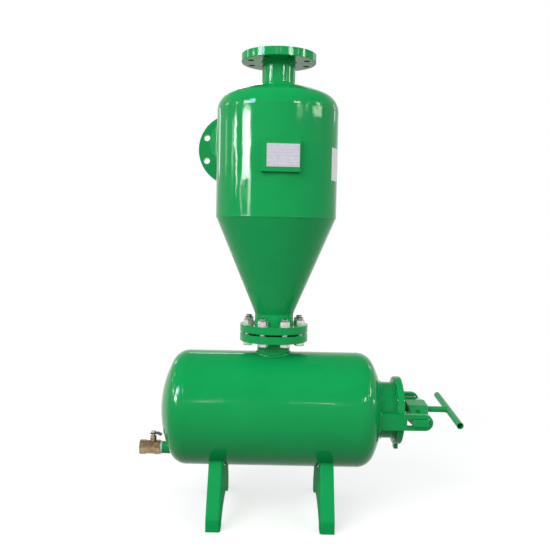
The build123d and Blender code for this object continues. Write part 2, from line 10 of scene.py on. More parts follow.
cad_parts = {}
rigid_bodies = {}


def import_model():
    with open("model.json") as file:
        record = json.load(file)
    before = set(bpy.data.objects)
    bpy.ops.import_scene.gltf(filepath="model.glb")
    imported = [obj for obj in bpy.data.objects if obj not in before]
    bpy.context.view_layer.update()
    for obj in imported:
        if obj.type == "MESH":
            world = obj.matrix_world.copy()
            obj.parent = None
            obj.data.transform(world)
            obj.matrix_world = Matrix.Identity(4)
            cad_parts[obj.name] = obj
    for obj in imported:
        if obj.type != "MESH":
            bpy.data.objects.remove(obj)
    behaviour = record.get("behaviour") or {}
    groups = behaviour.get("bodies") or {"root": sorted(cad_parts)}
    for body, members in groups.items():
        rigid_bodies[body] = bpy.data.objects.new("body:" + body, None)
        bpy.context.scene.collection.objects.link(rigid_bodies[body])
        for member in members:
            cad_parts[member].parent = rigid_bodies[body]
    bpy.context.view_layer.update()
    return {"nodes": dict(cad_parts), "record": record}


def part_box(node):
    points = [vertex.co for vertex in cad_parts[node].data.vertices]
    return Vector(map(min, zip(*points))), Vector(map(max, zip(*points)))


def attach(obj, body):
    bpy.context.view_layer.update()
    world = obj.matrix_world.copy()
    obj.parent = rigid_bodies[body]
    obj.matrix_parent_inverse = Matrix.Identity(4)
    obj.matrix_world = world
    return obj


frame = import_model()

FULL_TURN = 2 * math.pi

# Camera of the photograph, on its square frame, placed from the foot of the cyclone's axis
CAMERA_PLACE = Vector((0.00038, -1.96407, 0.7699))
CAMERA_PITCH = math.radians(3.4925)
CAMERA_ROLL = math.radians(1.1177)
CAMERA_LENS = 47.216
CAMERA_SENSOR = 36

# Bolts of the joint between tank and cyclone
JOINT_BOLTS = 8
JOINT_BOLT_CIRCLE = 0.150
BOLT_RADIUS = 0.008
BOLT_HEX_RADIUS = 0.0139
BOLT_HEAD_HEIGHT = 0.010
BOLT_NUT_HEIGHT = 0.0125
BOLT_END = 0.005
BOLT_PITCH = 0.00125
BOLT_SEED = 5
WASHER_RADIUS = 0.015
WASHER_HEIGHT = 0.003

# Form of all hex heads, round bars and threads: shares of their own sizes, and sides
HEX_CHAMFER_SHARE = 0.16
HEX_TOP_SHARE = 0.88
THREAD_CREST_SHARE = 1.07
HEX_SIDES = 6
ROUND_SIDES = 28

# Weld beads, at corners and along butt seams
CORNER_BEAD_RADIUS = 0.0042
FINE_BEAD_RADIUS = 0.0022
SEAM_BEAD_RADIUS = 0.006
SEAM_BEAD_PROUD = 0.0004
BEAD_PITCH = 0.0035
BEAD_RIPPLE_SHARE = 0.12
SEAM_RIPPLE_SHARE = 0.02
BEAD_SIDES = 10
BEAD_SEED = 11

# Points along the paths of the beads
CORNER_POINTS = 96
SEAM_POINTS = 240
NIPPLE_POINTS = 48
BAR_POINTS = 32
SADDLE_STEPS = 16
ENTRY_STEPS = 40
ARM_STEP = 0.004

# Dished heads of the tank, clamp arms and their slope, and the width of a saddle under the tank
TANK_CROWN = 0.279
TANK_KNUCKLE = 0.04774
CLAMP_TILT = math.radians(4.5)
ARM_INNER = 0.093
ARM_THICKNESS = 0.012
ARM_HEIGHT = 0.043
ARM_BEAD_RADIUS = 0.005
SADDLE_HALF_TOP = 0.091

# Noises and reliefs of surfaces: scale, detail and roughness, and strength and depth
CLOUD_NOISE = (9, 4, 0.6)
SHEEN_NOISE = (60, 3)
WAVE_NOISE = (16, 1)
WAVE_RELIEF = (0.25, 0.004)
PEEL_NOISE = (420, 2)
PEEL_RELIEF = (0.05, 0.001)
FACE_NOISE = (90, 4)
GROOVE_RELIEF = (0.5, 0.0004)
PANEL_NOISE = (120, 4)
BRUSH_NOISE = (1, 3)
FLOOR_NOISE = (3, 3)

# Enamel: its tint, and the range of its roughness and the level of its mirroring on each kind
ENAMEL_TINTS = ((0.004, 0.330, 0.079), (0.006, 0.360, 0.092))
GLOSS_ENAMEL = ((0.05, 0.10), 0.1)
SATIN_ENAMEL = ((0.55, 0.70), 0.03)

# Bare, grooved faces of the two open flanges
FACE_DEPTH = 0.0003
FACE_TINTS = ((0.34, 0.34, 0.33), (0.52, 0.52, 0.50))
FACE_ROUGHNESS = 0.34
GROOVE_PITCH = 0.0016

# Blank nameplate: its turn round the body, its printed panel and its rivets
PLATE_TURN = math.radians(3)
PANEL_MARGIN = 0.0012
PANEL_ROWS = 7
PANEL_ROW_SHIFT = 1.0
PANEL_LINE = 0.0005
PANEL_TINTS = ((0.56, 0.55, 0.63), (0.66, 0.65, 0.73))
PANEL_INK = (0.20, 0.21, 0.25, 1)
PANEL_INK_COVER = 0.55
BRUSH_STRETCH = (30, 30, 2200)
BRUSH_TINTS = ((0.55, 0.56, 0.57), (0.74, 0.75, 0.76))
BRUSH_GLOSS = (0.34, 0.50)
RIVET_INSET = 0.0045
RIVET_RADIUS = 0.0017
RIVET_HEIGHT_SHARE = 0.2
RIVET_FRONT = -0.0005
RIVET_SEGMENTS = 20
RIVET_RINGS = 10

# Blank sticker wrapped round the right of the body, its angles from the front towards the right
STICKER_START = math.radians(60.5)
STICKER_END = math.radians(95)
STICKER_LOW = 0.9035
STICKER_HIGH = 0.9885
STICKER_SHEET = 0.0003
STICKER_COLUMNS = 24
STICKER_ROWS = 12

# Thread tape on the drain's nipple, and the nut on the valve's stem
TAPE_LENGTH = 0.006
TAPE_TURNS = 4.0
TAPE_STEPS = 48
TAPE_THICKNESS = 0.0009
TAPE_WIDTH = 0.0019
STEM_NUT_RADIUS = 0.0064
STEM_NUT_HEIGHT = 0.0038
STEM_WASHER_RADIUS = 0.0072
STEM_WASHER_HEIGHT = 0.0009

# Floor: its reach, the ring in which it turns plain white, and its looks inside that ring
FLOOR_REACH = 14
FLOOR_FADE = (0.7, 1.9)
FLOOR_GLOW = 0.63
FLOOR_TINTS = ((0.52, 0.52, 0.52), (0.55, 0.55, 0.55))
FLOOR_ROUGHNESS = 0.9
FLOOR_DIM = (0.16, 0.16, 0.16, 1)
BLACK = (0, 0, 0, 1)

# Background: its tint overhead, and the heights between which it turns from white to that
OVERHEAD_TINT = (0.40, 0.41, 0.42)
OVERHEAD_FADE = (0.42, 0.62)

# Broad lamps: angle round the cyclone in degrees, distance, height and watts
SOFT_BOX_SIZE = 2.4
SOFT_BOX_TARGET = 0.7
SOFT_BOXES = {
    "soft_key": (-35, 3.2, 2.5, 78),
    "soft_fill": (50, 3.4, 1.9, 22),
}

# Tints and distances of the panes
PLAIN_WHITE = (1, 1, 1)
SKY_WHITE = (0.50, 0.64, 1)
WARM_WHITE = (1, 0.97, 0.88)
NEAR = 3.0
FAR = 5

# Panes mirrored in the enamel: angle, low and high edge, width, radiance, any tint and distance
PANES = {
    "left_window": (-58, 1.11, 1.53, 0.84, 130),
    "left_jamb": (-68, 0.88, 1.12, 0.10, 40),
    "left_post": (-50.5, 0.87, 1.12, 0.27, 45),
    "left_skylight": (-60, 1.66, 2.4, 0.55, 70),
    "left_blue_skylight": (-49.5, 1.80, 2.9, 0.60, 75, SKY_WHITE),
    "far_left_window": (-83, 1.33, 1.50, 0.22, 110),
    "far_left_post": (-79.5, 1.08, 1.33, 0.13, 85),
    "far_left_pale": (-90, 1.14, 1.46, 0.24, 15),
    "far_left_skylight": (-82, 1.87, 1.97, 0.36, 45),
    "left_edge_line": (-110, 1.16, 1.51, 0.14, 10),
    "left_edge_skylight": (-110, 1.75, 2.1, 0.30, 10),
    "rim_window": (-138, 1.15, 1.66, 0.26, 6),
    "right_window": (39, 1.545, 1.575, 0.55, 60),
    "right_skylight": (35, 1.74, 2.1, 0.62, 60),
    "middle_right_window": (54, 1.58, 1.62, 0.30, 45),
    "middle_right_skylight": (58, 1.74, 2.05, 0.16, 25),
    "far_right_window": (77, 1.555, 1.70, 1.10, 45, WARM_WHITE),
    "far_right_skylight": (80, 1.74, 2.1, 0.45, 50, WARM_WHITE),
    "right_edge_window": (132, 1.50, 2.1, 0.25, 5),
    "back_strip": (188.6, 2.10, 2.22, 0.62, 12),
    "left_hall_strip": (-7.4, 2.38, 2.41, 0.20, 400, PLAIN_WHITE, FAR),
    "right_hall_strip": (5.7, 2.33, 2.36, 0.32, 200, PLAIN_WHITE, FAR),
    "right_door": (92, 0.55, 0.75, 0.22, 40),
    "right_eaves": (78, 2.30, 2.33, 2.6, 45),
}


def middle(node):
    low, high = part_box(node)
    return (low + high) / 2


def half_size(node):
    low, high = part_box(node)
    return (high - low) / 2


body_axis = middle("cyclone_shell")
body_radius = half_size("cyclone_shell").x
tank_axis = middle("tank_shell")
tank_radius = half_size("tank_shell").z
tank_reach = half_size("tank_shell").x


# Building of node trees and pieces


def add(tree, kind, inputs=None, **settings):
    """A new node, with its settings, and its inputs linked or set."""
    made = tree.nodes.new(kind)
    for name, value in settings.items():
        setattr(made, name, value)
    for key, value in (inputs or {}).items():
        if isinstance(value, bpy.types.NodeSocket):
            tree.links.new(value, made.inputs[key])
        else:
            made.inputs[key].default_value = value
    return made


def number(tree, operation, *terms):
    """The output of one Math node."""
    return add(tree, "ShaderNodeMath", dict(enumerate(terms)), operation=operation).outputs[0]


def total(tree, answer, *terms):
    for term in terms:
        answer = number(tree, "ADD", answer, term)
    return answer


def along_z(tree, length):
    """A vector of this length along Z."""
    return add(tree, "ShaderNodeCombineXYZ", {"Z": length}).outputs[0]


def chance(tree, seed, highest=1.0):
    """A random number from zero to the highest, for each point."""
    inputs = {3: highest, "Seed": seed}
    return add(tree, "FunctionNodeRandomValue", inputs, data_type="FLOAT").outputs[1]


def new_tree(name, inputs):
    """An empty geometry tree with named inputs, its inputs, and its open geometry output."""
    tree = bpy.data.node_groups.new(name, "GeometryNodeTree")
    tree.interface.new_socket("Geometry", in_out="INPUT", socket_type="NodeSocketGeometry")
    for label, kind in inputs.items():
        tree.interface.new_socket(label, in_out="INPUT", socket_type="NodeSocket" + kind)
    tree.interface.new_socket("Geometry", in_out="OUTPUT", socket_type="NodeSocketGeometry")
    given = tree.nodes.new("NodeGroupInput").outputs
    return tree, given, tree.nodes.new("NodeGroupOutput").inputs[0]


def moved(tree, mesh, place=(0, 0, 0), turn=(0, 0, 0)):
    inputs = {"Geometry": mesh, "Translation": place, "Rotation": turn}
    return add(tree, "GeometryNodeTransform", inputs).outputs[0]


def joined(tree, parts):
    join = add(tree, "GeometryNodeJoinGeometry")
    for part in parts:
        tree.links.new(part, join.inputs[0])
    return join.outputs[0]


def finished(tree, mesh, material, answer):
    """The end of a tree: real geometry with its material."""
    real = add(tree, "GeometryNodeRealizeInstances", {"Geometry": mesh}).outputs[0]
    dressed = add(tree, "GeometryNodeSetMaterial", {"Geometry": real, "Material": material})
    tree.links.new(dressed.outputs[0], answer)
    return tree


def show(name, mesh, body):
    """A finished mesh as a piece of the object, riding on its body."""
    piece = bpy.data.objects.new(name, mesh)
    bpy.context.collection.objects.link(piece)
    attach(piece, body)
    return piece


def settle(name, tree, sizes, start=None):
    """The plain mesh that a tree makes with these sizes, from a starting mesh if it needs one."""
    holder = bpy.data.objects.new(name, start or bpy.data.meshes.new(name))
    bpy.context.collection.objects.link(holder)
    maker = holder.modifiers.new(name, "NODES")
    maker.node_group = tree
    for socket in tree.interface.items_tree:
        if socket.in_out == "INPUT" and socket.name in sizes:
            maker[socket.identifier] = sizes[socket.name]
    depsgraph = bpy.context.evaluated_depsgraph_get()
    grown = holder.evaluated_get(depsgraph)
    mesh = bpy.data.meshes.new_from_object(grown, depsgraph=depsgraph)
    bpy.data.objects.remove(holder)
    mesh.name = name
    return mesh


def paths_mesh(name, paths):
    """Loose edges along each path, given as its points and whether it closes."""
    points, edges = [], []
    for path, closed in paths:
        first = len(points)
        points += path
        edges += [(first + i, first + i + 1) for i in range(len(path) - 1)]
        if closed:
            edges.append((len(points) - 1, first))
    mesh = bpy.data.meshes.new(name)
    mesh.from_pydata(points, edges, [])
    return mesh


# Materials


def new_material(name):
    material = bpy.data.materials.new(name)
    material.use_nodes = True
    tree = material.node_tree
    shader = tree.nodes["Principled BSDF"]
    place = add(tree, "ShaderNodeTexCoord").outputs["Object"]
    return material, tree, shader, place


def noise(tree, place, scale, detail=2.0, roughness=0.5):
    inputs = {"Vector": place, "Scale": scale, "Detail": detail, "Roughness": roughness}
    return add(tree, "ShaderNodeTexNoise", inputs).outputs["Fac"]


def stretched(tree, place, scale):
    return add(tree, "ShaderNodeMapping", {"Vector": place, "Scale": scale}).outputs["Vector"]


def ramp(tree, factor, low, high, start=0.3, end=0.7):
    """A colour that goes from low to high as the factor goes from start to end."""
    made = add(tree, "ShaderNodeValToRGB", {"Fac": factor})
    for stop, at, colour in zip(made.color_ramp.elements, (start, end), (low, high)):
        stop.position = at
        stop.color = (*colour, 1)
    return made.outputs["Color"]


def spread(tree, factor, low, high, start=0.3, end=0.7):
    """A number that goes from low to high as the factor goes from start to end."""
    inputs = {
        "Value": factor,
        "From Min": start,
        "From Max": end,
        "To Min": low,
        "To Max": high,
    }
    return add(tree, "ShaderNodeMapRange", inputs).outputs["Result"]


def bump(tree, height, strength, distance, under=None):
    inputs = {"Height": height, "Strength": strength, "Distance": distance}
    if under:
        inputs["Normal"] = under
    return add(tree, "ShaderNodeBump", inputs).outputs["Normal"]


def mixed(tree, factor, low, high):
    """A colour between two others."""
    return add(tree, "ShaderNodeMix", {0: factor, 6: low, 7: high}, data_type="RGBA").outputs[2]


def distance_from_middle(tree, place):
    return add(tree, "ShaderNodeVectorMath", {0: place}, operation="LENGTH").outputs["Value"]


def enamel_layers(tree, shader, place, gloss, level):
    """Sprayed enamel: slightly uneven cover, slow waves in its gloss and a fine orange peel."""
    tint = ramp(tree, noise(tree, place, *CLOUD_NOISE), *ENAMEL_TINTS)
    sheen = spread(tree, noise(tree, place, *SHEEN_NOISE), *gloss)
    waves = bump(tree, noise(tree, place, *WAVE_NOISE), *WAVE_RELIEF)
    peel = bump(tree, noise(tree, place, *PEEL_NOISE), *PEEL_RELIEF, waves)
    shader.inputs["Specular IOR Level"].default_value = level
    return tint, sheen, peel


def enamel(name, gloss, level):
    material, tree, shader, place = new_material(name)
    layers = enamel_layers(tree, shader, place, gloss, level)
    for key, layer in zip(("Base Color", "Roughness", "Normal"), layers):
        tree.links.new(layer, shader.inputs[key])
    return material


def open_flange_enamel(name, node, axis):
    """Enamel on an open flange, whose raised face is bare steel with fine turned grooves."""
    material, tree, shader, place = new_material(name)
    tint, sheen, peel = enamel_layers(tree, shader, place, *GLOSS_ENAMEL)
    keep = Vector([0 if letter == axis else 1 for letter in "XYZ"])
    flatten = {"Vector": place, "Scale": keep, "Location": -keep * middle(node)}
    flat = add(tree, "ShaderNodeMapping", flatten).outputs[0]
    reach = distance_from_middle(tree, flat)
    groove = number(tree, "SINE", number(tree, "MULTIPLY", reach, FULL_TURN / GROOVE_PITCH))
    along = add(tree, "ShaderNodeSeparateXYZ", {0: place}).outputs[axis]
    end = getattr(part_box(node)[1], axis.lower())
    face = number(tree, "GREATER_THAN", along, end - FACE_DEPTH)
    steel = ramp(tree, noise(tree, place, *FACE_NOISE), *FACE_TINTS)
    dullness = number(tree, "MAXIMUM", sheen, number(tree, "MULTIPLY", face, FACE_ROUGHNESS))
    cut = bump(tree, number(tree, "MULTIPLY", groove, face), *GROOVE_RELIEF, peel)
    tree.links.new(mixed(tree, face, tint, steel), shader.inputs["Base Color"])
    tree.links.new(face, shader.inputs["Metallic"])
    tree.links.new(dullness, shader.inputs["Roughness"])
    tree.links.new(cut, shader.inputs["Normal"])
    return material


def plain_finish(name, pattern, tints, gloss, metal=0, stretch=None, relief=None, grain=None):
    """A finish whose tint and roughness follow one noise, with a relief of it or of a grain.

    The pattern and the grain are a noise's scale, detail and roughness. The relief is a bump's
    strength and depth.
    """
    material, tree, shader, place = new_material(name)
    marks = noise(tree, stretched(tree, place, stretch) if stretch else place, *pattern)
    tree.links.new(ramp(tree, marks, *tints), shader.inputs["Base Color"])
    tree.links.new(spread(tree, marks, *gloss), shader.inputs["Roughness"])
    if relief:
        height = noise(tree, place, *grain) if grain else marks
        tree.links.new(bump(tree, height, *relief), shader.inputs["Normal"])
    shader.inputs["Metallic"].default_value = metal
    return material


def plate_aluminium():
    """A blank plate: brushed rim, and a pale printed panel with empty ruled rows."""
    material, tree, shader, place = new_material("plate_aluminium")
    unturned = Matrix.Rotation(-PLATE_TURN, 3, "Z") @ middle("nameplate")
    centred = {"Vector": place, "Rotation": (0, 0, -PLATE_TURN), "Location": -unturned}
    flat = add(tree, "ShaderNodeMapping", centred).outputs[0]
    across, _, up = add(tree, "ShaderNodeSeparateXYZ", {0: flat}).outputs
    wide, _, tall = half_size("nameplate") - Vector((PANEL_MARGIN, 0, PANEL_MARGIN))
    in_width = number(tree, "LESS_THAN", number(tree, "ABSOLUTE", across), wide)
    in_height = number(tree, "LESS_THAN", number(tree, "ABSOLUTE", up), tall)
    panel = number(tree, "MULTIPLY", in_width, in_height)
    shifted = number(tree, "ADD", up, PANEL_ROW_SHIFT)
    to_row = number(tree, "PINGPONG", shifted, tall / PANEL_ROWS)
    row = number(tree, "LESS_THAN", to_row, PANEL_LINE / 2)
    to_column = number(tree, "ABSOLUTE", number(tree, "ADD", across, wide / 3))
    lines = number(tree, "MAXIMUM", row, number(tree, "LESS_THAN", to_column, PANEL_LINE / 2))
    brushed = noise(tree, stretched(tree, place, BRUSH_STRETCH), *BRUSH_NOISE)
    metal = ramp(tree, brushed, *BRUSH_TINTS)
    ground = ramp(tree, noise(tree, place, *PANEL_NOISE), *PANEL_TINTS)
    printed = mixed(tree, number(tree, "MULTIPLY", lines, PANEL_INK_COVER), ground, PANEL_INK)
    tree.links.new(mixed(tree, panel, metal, printed), shader.inputs["Base Color"])
    tree.links.new(number(tree, "SUBTRACT", 1.0, panel), shader.inputs["Metallic"])
    tree.links.new(spread(tree, brushed, *BRUSH_GLOSS), shader.inputs["Roughness"])
    return material


# Matt black sheet rubber with a fine grain and a little dust
sheet_rubber = plain_finish(
    "sheet_rubber",
    pattern=(220, 4, 0.7),
    tints=((0.010, 0.012, 0.011), (0.035, 0.040, 0.036)),
    gloss=(0.62, 0.85),
    relief=(0.3, 0.0004),
    grain=(1500, 2),
)

# Dull forged brass, darker where it was handled, with a grainy forged skin
forged_brass = plain_finish(
    "forged_brass",
    pattern=(70, 5, 0.65),
    tints=((0.25, 0.165, 0.08), (0.54, 0.40, 0.235)),
    gloss=(0.52, 0.34),
    metal=0.9,
    relief=(0.25, 0.0005),
    grain=(1200, 3),
)

# Hard chrome on the valve's ball, with faint polishing marks
ball_chrome = plain_finish(
    "ball_chrome",
    pattern=(1, 2),
    tints=((0.60, 0.60, 0.61), (0.72, 0.72, 0.73)),
    gloss=(0.06, 0.14),
    metal=1,
    stretch=(900, 40, 40),
)

# Plain turned steel, with rings round its length
turned_steel = plain_finish(
    "turned_steel",
    pattern=(1, 2),
    tints=((0.40, 0.39, 0.37), (0.62, 0.61, 0.59)),
    gloss=(0.26, 0.40),
    metal=1,
    stretch=(60, 60, 1800),
)

# Blue-black dipped coating on the valve's lever
lever_paint = plain_finish(
    "lever_paint",
    pattern=(150, 4, 0.7),
    tints=((0.012, 0.020, 0.028), (0.030, 0.045, 0.060)),
    gloss=(0.30, 0.50),
    relief=(0.12, 0.0005),
    grain=(700, 2),
)

# Bright zinc on bolts, nuts and rivets, with dull patches
zinc_plate = plain_finish(
    "zinc_plate",
    pattern=(160, 4, 0.65),
    tints=((0.50, 0.48, 0.41), (0.83, 0.83, 0.80)),
    gloss=(0.44, 0.24),
    metal=1,
    relief=(0.15, 0.0005),
    grain=(900, 2),
)

# White vinyl film, a little yellowed and creased
sticker_vinyl = plain_finish(
    "sticker_vinyl",
    pattern=(45, 4, 0.6),
    tints=((0.74, 0.75, 0.78), (0.86, 0.87, 0.88)),
    gloss=(0.28, 0.42),
    relief=(0.08, 0.001),
    grain=(90, 2),
)

# Wound white thread tape
thread_tape = plain_finish(
    "thread_tape",
    pattern=(1, 3),
    tints=((0.55, 0.55, 0.52), (0.80, 0.80, 0.77)),
    gloss=(0.5, 0.7),
    stretch=(900, 120, 120),
    relief=(0.4, 0.0006),
)

finishes = {
    "green_enamel": enamel("green_enamel", *GLOSS_ENAMEL),
    "black_rubber": sheet_rubber,
    "plate_aluminium": plate_aluminium(),
    "valve_brass": forged_brass,
    "ball_chrome": ball_chrome,
    "stem_steel": turned_steel,
    "lever_paint": lever_paint,
}


def dress(node, material):
    frame["nodes"][node].material_slots[0].material = material


for subpart in frame["record"]["subparts"]:
    dress(subpart["node"], finishes[subpart["material_slot"]])
saddle_enamel = enamel("saddle_enamel", *SATIN_ENAMEL)
for saddle in ("left_saddle", "right_saddle"):
    dress(saddle, saddle_enamel)
for open_flange, open_axis in (("outlet_flange", "Z"), ("inlet_flange", "Y")):
    dress(open_flange, open_flange_enamel(open_flange + "_enamel", open_flange, open_axis))


# Bolts of the joint


def cone(tree, sides, bottom_radius, top_radius, height, bottom):
    """A cone or prism that stands on the height given as bottom."""
    sizes = {
        "Vertices": sides,
        "Radius Bottom": bottom_radius,
        "Radius Top": top_radius,
        "Depth": height,
    }
    mesh = add(tree, "GeometryNodeMeshCone", sizes).outputs["Mesh"]
    return moved(tree, mesh, along_z(tree, bottom))


def hex_block(tree, radius, height, bottom):
    """A six-sided block with its upper edge chamfered, as its prism and its cap."""
    chamfer = number(tree, "MULTIPLY", height, HEX_CHAMFER_SHARE)
    straight = number(tree, "SUBTRACT", height, chamfer)
    top_radius = number(tree, "MULTIPLY", radius, HEX_TOP_SHARE)
    prism = cone(tree, HEX_SIDES, radius, radius, straight, bottom)
    shoulder = total(tree, bottom, straight)
    return [prism, cone(tree, HEX_SIDES, radius, top_radius, chamfer, shoulder)]


def round_bar(tree, radius, length, bottom):
    return cone(tree, ROUND_SIDES, radius, radius, length, bottom)


def thread(tree, radius, pitch, length, bottom):
    """Ridges up a bolt's end, each a short cone that widens and a short cone that narrows."""
    crest = number(tree, "MULTIPLY", radius, THREAD_CREST_SHARE)
    half = number(tree, "MULTIPLY", pitch, 0.5)
    widening = cone(tree, ROUND_SIDES, radius, crest, half, 0.0)
    narrowing = cone(tree, ROUND_SIDES, crest, radius, half, half)
    line = {
        "Count": number(tree, "DIVIDE", length, pitch),
        "Start Location": along_z(tree, bottom),
        "Offset": along_z(tree, pitch),
    }
    ridges = {
        "Points": add(tree, "GeometryNodeMeshLine", line).outputs[0],
        "Instance": joined(tree, [widening, narrowing]),
    }
    return add(tree, "GeometryNodeInstanceOnPoints", ridges).outputs[0]


def flange_bolts_tree():
    """A ring of hex bolts through a flange joint: heads below, washers, nuts and threads above."""
    lengths = (
        "Bolt circle",
        "Bolt radius",
        "Hex radius",
        "Head height",
        "Nut height",
        "Bolt end",
        "Thread pitch",
        "Washer radius",
        "Washer height",
        "Grip",
    )
    others = {"Bolts": "Int", "Place": "Vector", "Seed": "Int", "Metal": "Material"}
    tree, given, answer = new_tree("flange_bolts", {**dict.fromkeys(lengths, "Float"), **others})
    radius, hex_radius = given["Bolt radius"], given["Hex radius"]
    nut_seat = total(tree, given["Grip"], given["Washer height"])
    nut_top = total(tree, nut_seat, given["Nut height"])
    shank = total(tree, nut_top, given["Bolt end"], given["Head height"])
    below = number(tree, "SUBTRACT", 0.0, given["Head height"])
    head = joined(tree, hex_block(tree, hex_radius, given["Head height"], 0.0))
    bolt = joined(
        tree,
        [
            moved(tree, head, turn=(math.pi, 0, 0)),
            round_bar(tree, given["Washer radius"], given["Washer height"], given["Grip"]),
            *hex_block(tree, hex_radius, given["Nut height"], nut_seat),
            round_bar(tree, radius, shank, below),
            thread(tree, radius, given["Thread pitch"], given["Bolt end"], nut_top),
        ],
    )
    circle = {
        "Vertices": given["Bolts"],
        "Radius": number(tree, "MULTIPLY", given["Bolt circle"], 0.5),
    }
    around_joint = add(tree, "GeometryNodeMeshCircle", circle).outputs[0]
    half_step = number(tree, "DIVIDE", math.pi, given["Bolts"])
    spin = along_z(tree, chance(tree, given["Seed"], FULL_TURN))
    set_round = {
        "Points": moved(tree, around_joint, turn=along_z(tree, half_step)),
        "Instance": bolt,
        "Rotation": add(tree, "FunctionNodeEulerToRotation", {0: spin}).outputs[0],
    }
    bolts = add(tree, "GeometryNodeInstanceOnPoints", set_round).outputs[0]
    return finished(tree, moved(tree, bolts, given["Place"]), given["Metal"], answer)


def joint_bolts():
    low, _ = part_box("lower_joint_flange")
    _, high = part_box("upper_joint_flange")
    sizes = {
        "Bolts": JOINT_BOLTS,
        "Bolt circle": JOINT_BOLT_CIRCLE,
        "Bolt radius": BOLT_RADIUS,
        "Hex radius": BOLT_HEX_RADIUS,
        "Head height": BOLT_HEAD_HEIGHT,
        "Nut height": BOLT_NUT_HEIGHT,
        "Bolt end": BOLT_END,
        "Thread pitch": BOLT_PITCH,
        "Washer radius": WASHER_RADIUS,
        "Washer height": WASHER_HEIGHT,
        "Grip": high.z - low.z,
        "Place": (body_axis.x, body_axis.y, low.z),
        "Seed": BOLT_SEED,
        "Metal": zinc_plate,
    }
    mesh = settle("joint_bolts", flange_bolts_tree(), sizes)
    show("joint_bolts", mesh, "separator")


joint_bolts()


# Weld beads


def turns(points):
    """Angles spread evenly over a full turn."""
    return [FULL_TURN * i / points for i in range(points)]


def ring(centre, radius, axis, points=CORNER_POINTS):
    """A circle about an axis, as points."""
    first, second = {"X": (1, 2), "Y": (0, 2), "Z": (0, 1)}[axis]
    path = []
    for angle in turns(points):
        point = Vector(centre)
        point[first] += radius * math.cos(angle)
        point[second] += radius * math.sin(angle)
        path.append(point)
    return path, True


def round_body(z, radius, points=CORNER_POINTS):
    return ring((body_axis.x, body_axis.y, z), radius, "Z", points)


def round_tank(x, radius, points=CORNER_POINTS):
    return ring((x, tank_axis.y, tank_axis.z), radius, "X", points)


def neck_on_tank(radius):
    """Where the upright neck meets the round of the tank."""
    path = []
    for angle in turns(CORNER_POINTS):
        y = radius * math.sin(angle)
        z = tank_axis.z + math.sqrt(tank_radius**2 - y**2)
        path.append(Vector((body_axis.x + radius * math.cos(angle), body_axis.y + y, z)))
    return path, True


def on_tank_head(side, y, z):
    """The point of a tank head's outside at a place across its axis: side 1 is right, -1 left."""
    reach = math.hypot(y, z)
    shoulder = tank_radius - TANK_KNUCKLE
    drop = math.sqrt((TANK_CROWN - TANK_KNUCKLE) ** 2 - shoulder**2)
    if reach < shoulder * TANK_CROWN / (TANK_CROWN - TANK_KNUCKLE):
        bulge = math.sqrt(TANK_CROWN**2 - reach**2) - drop
    else:
        bulge = math.sqrt(TANK_KNUCKLE**2 - (reach - shoulder) ** 2)
    return tank_axis + Vector((side * (tank_reach + bulge), y, z))


def nipple_on_head():
    radius = half_size("drain_nipple").y
    low = middle("drain_nipple").z - tank_axis.z
    spots = [(radius * math.cos(a), low + radius * math.sin(a)) for a in turns(NIPPLE_POINTS)]
    return [on_tank_head(-1, *spot) for spot in spots], True


def arm_on_head(side):
    """Round the foot of a clamp arm: side 1 is at the back, -1 at the front."""
    low, high = -ARM_HEIGHT / 2, ARM_HEIGHT / 2
    inner, outer = side * ARM_INNER, side * (ARM_INNER + ARM_THICKNESS)
    outline = ((inner, low), (outer, low), (outer, high), (inner, high), (inner, low))
    corners = [Vector(spot) for spot in outline]
    tilt = Matrix.Rotation(CLAMP_TILT, 2)
    path = []
    for first, second in zip(corners, corners[1:]):
        steps = round((second - first).length / ARM_STEP)
        path += [tilt @ first.lerp(second, i / steps) for i in range(steps)]
    return [on_tank_head(1, *spot) for spot in path], True


def saddle_on_tank(node, side):
    """Along a saddle's web under the tank, and out to the edges of its two flanges."""
    low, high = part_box(node)
    web, lip = (low.x, high.x) if side > 0 else (high.x, low.x)
    half_angle = math.asin(SADDLE_HALF_TOP / tank_radius)
    path = []
    for i in range(-SADDLE_STEPS, SADDLE_STEPS + 1):
        angle = half_angle * i / SADDLE_STEPS
        down = Vector((0, tank_radius * math.sin(angle), -tank_radius * math.cos(angle)))
        path.append(Vector((web, tank_axis.y, tank_axis.z)) + down)
    front, back = (Vector((lip, end.y, end.z)) for end in (path[0], path[-1]))
    return [front, *path, back], False


def entry_on_body():
    """Where the tangential inlet meets the body, closed by the foot of its slanting plate."""
    radius = half_size("inlet_pipe").x
    centre = middle("inlet_pipe")
    off_axis = centre.x - body_axis.x
    last = math.acos((-body_radius - off_axis) / radius)
    path = []
    for i in range(-ENTRY_STEPS, ENTRY_STEPS + 1):
        angle = last * i / ENTRY_STEPS
        x = off_axis + radius * math.cos(angle)
        y = math.sqrt(max(body_radius**2 - x**2, 0))
        z = centre.z + radius * math.sin(angle)
        path.append(Vector((body_axis.x + x, body_axis.y + y, z)))
    return path, True


def bar_on_screw():
    """Round the end of the clamp's screw, against the round of the T-bar."""
    screw = half_size("clamp_screw").y
    bar = half_size("t_handle_bar").x
    path = []
    for angle in turns(BAR_POINTS):
        y, z = screw * math.cos(angle), screw * math.sin(angle)
        path.append(middle("t_handle_bar") + Vector((-math.sqrt(bar**2 - z**2), y, z)))
    return path, True


